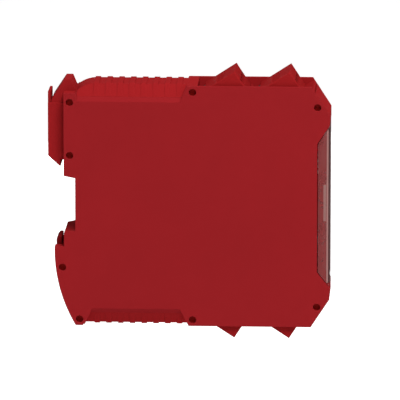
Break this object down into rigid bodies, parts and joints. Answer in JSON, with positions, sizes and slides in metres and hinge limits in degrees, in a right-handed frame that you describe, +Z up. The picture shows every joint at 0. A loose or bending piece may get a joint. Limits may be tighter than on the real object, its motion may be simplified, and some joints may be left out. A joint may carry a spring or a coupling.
{
  "type": "safety relay",
  "caption": "Narrow red rail-mounted safety relay with tilted plug-in screw terminals, ridged vents, hinged clear front cover and spring latch.",
  "frame": {"origin": "middle of the 35 mm rail seat, in the plane where the rail rims touch the housing", "axes": "+X to the right seen from the front, -Y out of the front, +Z up as mounted on a level rail"},
  "size_m": [0.0226, 0.1141, 0.11],
  "materials": {
    "black_plastic": "moulded, satin",
    "capacitor_sleeve": "shrunk sleeve",
    "screw_steel": "zinc plated",
    "plated_brass": "tin plated",
    "board_green": "solder mask, semi-gloss",
    "clear_plastic": "clear moulding, polished",
    "red_plastic": "fine spark-eroded moulding grain, satin",
    "fuse_body": "moulded",
    "dark_plastic": "moulded, matt",
    "white_plastic": "smooth",
    "spring_steel": "drawn wire",
    "relay_case": "moulded, satin",
    "knob_plastic": "moulded, satin",
    "light_pipe": "clear moulding",
    "transformer_core": "ferrite and tape"
  },
  "bodies": {
    "housing": {"board_connector": "black_plastic", "capacitors": "capacitor_sleeve", "control_chips": "black_plastic", "front_board": "board_green", "front_panel": "red_plastic", "fuse": "fuse_body", "header_bottom_front": "black_plastic", "header_bottom_rear": "black_plastic", "header_top_front": "black_plastic", "header_top_rear": "black_plastic", "housing_pins": "dark_plastic", "housing_shell": "red_plastic", "latch_spring": "spring_steel", "main_board": "board_green", "relay_1": "relay_case", "relay_2": "relay_case", "selector_switches": "black_plastic", "side_cover": "red_plastic", "status_leds": "white_plastic", "status_light_pipes": "light_pipe", "transformer": "transformer_core"},
    "cover": {"front_cover": "clear_plastic", "label_insert": "white_plastic"},
    "latch": {"rail_latch": "red_plastic"},
    "knob_upper": {"selector_knob_upper": "knob_plastic"},
    "knob_lower": {"selector_knob_lower": "knob_plastic"},
    "plug_top_rear": {"plug_top_rear": "red_plastic", "clamps_top_rear": "plated_brass"},
    "clamp_screw_top_rear_1": {"clamp_screw_top_rear_1": "screw_steel"},
    "clamp_screw_top_rear_2": {"clamp_screw_top_rear_2": "screw_steel"},
    "clamp_screw_top_rear_3": {"clamp_screw_top_rear_3": "screw_steel"},
    "clamp_screw_top_rear_4": {"clamp_screw_top_rear_4": "screw_steel"},
    "plug_top_front": {"plug_top_front": "red_plastic", "clamps_top_front": "plated_brass"},
    "clamp_screw_top_front_1": {"clamp_screw_top_front_1": "screw_steel"},
    "clamp_screw_top_front_2": {"clamp_screw_top_front_2": "screw_steel"},
    "clamp_screw_top_front_3": {"clamp_screw_top_front_3": "screw_steel"},
    "clamp_screw_top_front_4": {"clamp_screw_top_front_4": "screw_steel"},
    "plug_bottom_rear": {"plug_bottom_rear": "red_plastic", "clamps_bottom_rear": "plated_brass"},
    "clamp_screw_bottom_rear_1": {"clamp_screw_bottom_rear_1": "screw_steel"},
    "clamp_screw_bottom_rear_2": {"clamp_screw_bottom_rear_2": "screw_steel"},
    "clamp_screw_bottom_rear_3": {"clamp_screw_bottom_rear_3": "screw_steel"},
    "clamp_screw_bottom_rear_4": {"clamp_screw_bottom_rear_4": "screw_steel"},
    "plug_bottom_front": {"plug_bottom_front": "red_plastic", "clamps_bottom_front": "plated_brass"},
    "clamp_screw_bottom_front_1": {"clamp_screw_bottom_front_1": "screw_steel"},
    "clamp_screw_bottom_front_2": {"clamp_screw_bottom_front_2": "screw_steel"},
    "clamp_screw_bottom_front_3": {"clamp_screw_bottom_front_3": "screw_steel"},
    "clamp_screw_bottom_front_4": {"clamp_screw_bottom_front_4": "screw_steel"}
  },
  "joints": [
    {"name": "cover_hinge", "type": "hinge", "parent": "housing", "child": "cover", "pos_m": [0, -0.1062, -0.0336], "axis": [1, 0, 0], "range_deg": [0, 100]},
    {"name": "latch_slide", "type": "slide", "parent": "housing", "child": "latch", "axis": [0, 0, -1], "range_m": [0, 0.004], "stiffness_N_per_m": 800, "springref_m": -0.002, "deforming": ["latch_spring"]},
    {"name": "selector_upper_turn", "type": "hinge", "parent": "housing", "child": "knob_upper", "pos_m": [0.0025, -0.1, 0.0175], "axis": [0, -1, 0], "range_deg": [0, 270]},
    {"name": "selector_lower_turn", "type": "hinge", "parent": "housing", "child": "knob_lower", "pos_m": [0.0025, -0.1, -0.018], "axis": [0, -1, 0], "range_deg": [0, 270]},
    {"name": "plug_top_rear_pull", "type": "slide", "parent": "housing", "child": "plug_top_rear", "axis": [0, -0.8387, 0.5446], "range_m": [0, 0.02]},
    {"name": "screw_top_rear_1_turn", "type": "hinge", "parent": "plug_top_rear", "child": "clamp_screw_top_rear_1", "pos_m": [-0.0075, -0.06995, 0.04889], "axis": [0, -0.8387, 0.5446], "continuous": true},
    {"name": "screw_top_rear_2_turn", "type": "hinge", "parent": "plug_top_rear", "child": "clamp_screw_top_rear_2", "pos_m": [-0.0025, -0.06995, 0.04889], "axis": [0, -0.8387, 0.5446], "continuous": true},
    {"name": "screw_top_rear_3_turn", "type": "hinge", "parent": "plug_top_rear", "child": "clamp_screw_top_rear_3", "pos_m": [0.0025, -0.06995, 0.04889], "axis": [0, -0.8387, 0.5446], "continuous": true},
    {"name": "screw_top_rear_4_turn", "type": "hinge", "parent": "plug_top_rear", "child": "clamp_screw_top_rear_4", "pos_m": [0.0075, -0.06995, 0.04889], "axis": [0, -0.8387, 0.5446], "continuous": true},
    {"name": "plug_top_front_pull", "type": "slide", "parent": "housing", "child": "plug_top_front", "axis": [0, -0.8387, 0.5446], "range_m": [0, 0.02]},
    {"name": "screw_top_front_1_turn", "type": "hinge", "parent": "plug_top_front", "child": "clamp_screw_top_front_1", "pos_m": [-0.0075, -0.09215, 0.04889], "axis": [0, -0.8387, 0.5446], "continuous": true},
    {"name": "screw_top_front_2_turn", "type": "hinge", "parent": "plug_top_front", "child": "clamp_screw_top_front_2", "pos_m": [-0.0025, -0.09215, 0.04889], "axis": [0, -0.8387, 0.5446], "continuous": true},
    {"name": "screw_top_front_3_turn", "type": "hinge", "parent": "plug_top_front", "child": "clamp_screw_top_front_3", "pos_m": [0.0025, -0.09215, 0.04889], "axis": [0, -0.8387, 0.5446], "continuous": true},
    {"name": "screw_top_front_4_turn", "type": "hinge", "parent": "plug_top_front", "child": "clamp_screw_top_front_4", "pos_m": [0.0075, -0.09215, 0.04889], "axis": [0, -0.8387, 0.5446], "continuous": true},
    {"name": "plug_bottom_rear_pull", "type": "slide", "parent": "housing", "child": "plug_bottom_rear", "axis": [0, -0.8387, -0.5446], "range_m": [0, 0.02]},
    {"name": "screw_bottom_rear_1_turn", "type": "hinge", "parent": "plug_bottom_rear", "child": "clamp_screw_bottom_rear_1", "pos_m": [0.0075, -0.06995, -0.04899], "axis": [0, -0.8387, -0.5446], "continuous": true},
    {"name": "screw_bottom_rear_2_turn", "type": "hinge", "parent": "plug_bottom_rear", "child": "clamp_screw_bottom_rear_2", "pos_m": [0.0025, -0.06995, -0.04899], "axis": [0, -0.8387, -0.5446], "continuous": true},
    {"name": "screw_bottom_rear_3_turn", "type": "hinge", "parent": "plug_bottom_rear", "child": "clamp_screw_bottom_rear_3", "pos_m": [-0.0025, -0.06995, -0.04899], "axis": [0, -0.8387, -0.5446], "continuous": true},
    {"name": "screw_bottom_rear_4_turn", "type": "hinge", "parent": "plug_bottom_rear", "child": "clamp_screw_bottom_rear_4", "pos_m": [-0.0075, -0.06995, -0.04899], "axis": [0, -0.8387, -0.5446], "continuous": true},
    {"name": "plug_bottom_front_pull", "type": "slide", "parent": "housing", "child": "plug_bottom_front", "axis": [0, -0.8387, -0.5446], "range_m": [0, 0.02]},
    {"name": "screw_bottom_front_1_turn", "type": "hinge", "parent": "plug_bottom_front", "child": "clamp_screw_bottom_front_1", "pos_m": [0.0075, -0.09215, -0.04899], "axis": [0, -0.8387, -0.5446], "continuous": true},
    {"name": "screw_bottom_front_2_turn", "type": "hinge", "parent": "plug_bottom_front", "child": "clamp_screw_bottom_front_2", "pos_m": [0.0025, -0.09215, -0.04899], "axis": [0, -0.8387, -0.5446], "continuous": true},
    {"name": "screw_bottom_front_3_turn", "type": "hinge", "parent": "plug_bottom_front", "child": "clamp_screw_bottom_front_3", "pos_m": [-0.0025, -0.09215, -0.04899], "axis": [0, -0.8387, -0.5446], "continuous": true},
    {"name": "screw_bottom_front_4_turn", "type": "hinge", "parent": "plug_bottom_front", "child": "clamp_screw_bottom_front_4", "pos_m": [-0.0075, -0.09215, -0.04899], "axis": [0, -0.8387, -0.5446], "continuous": true}
  ]
}
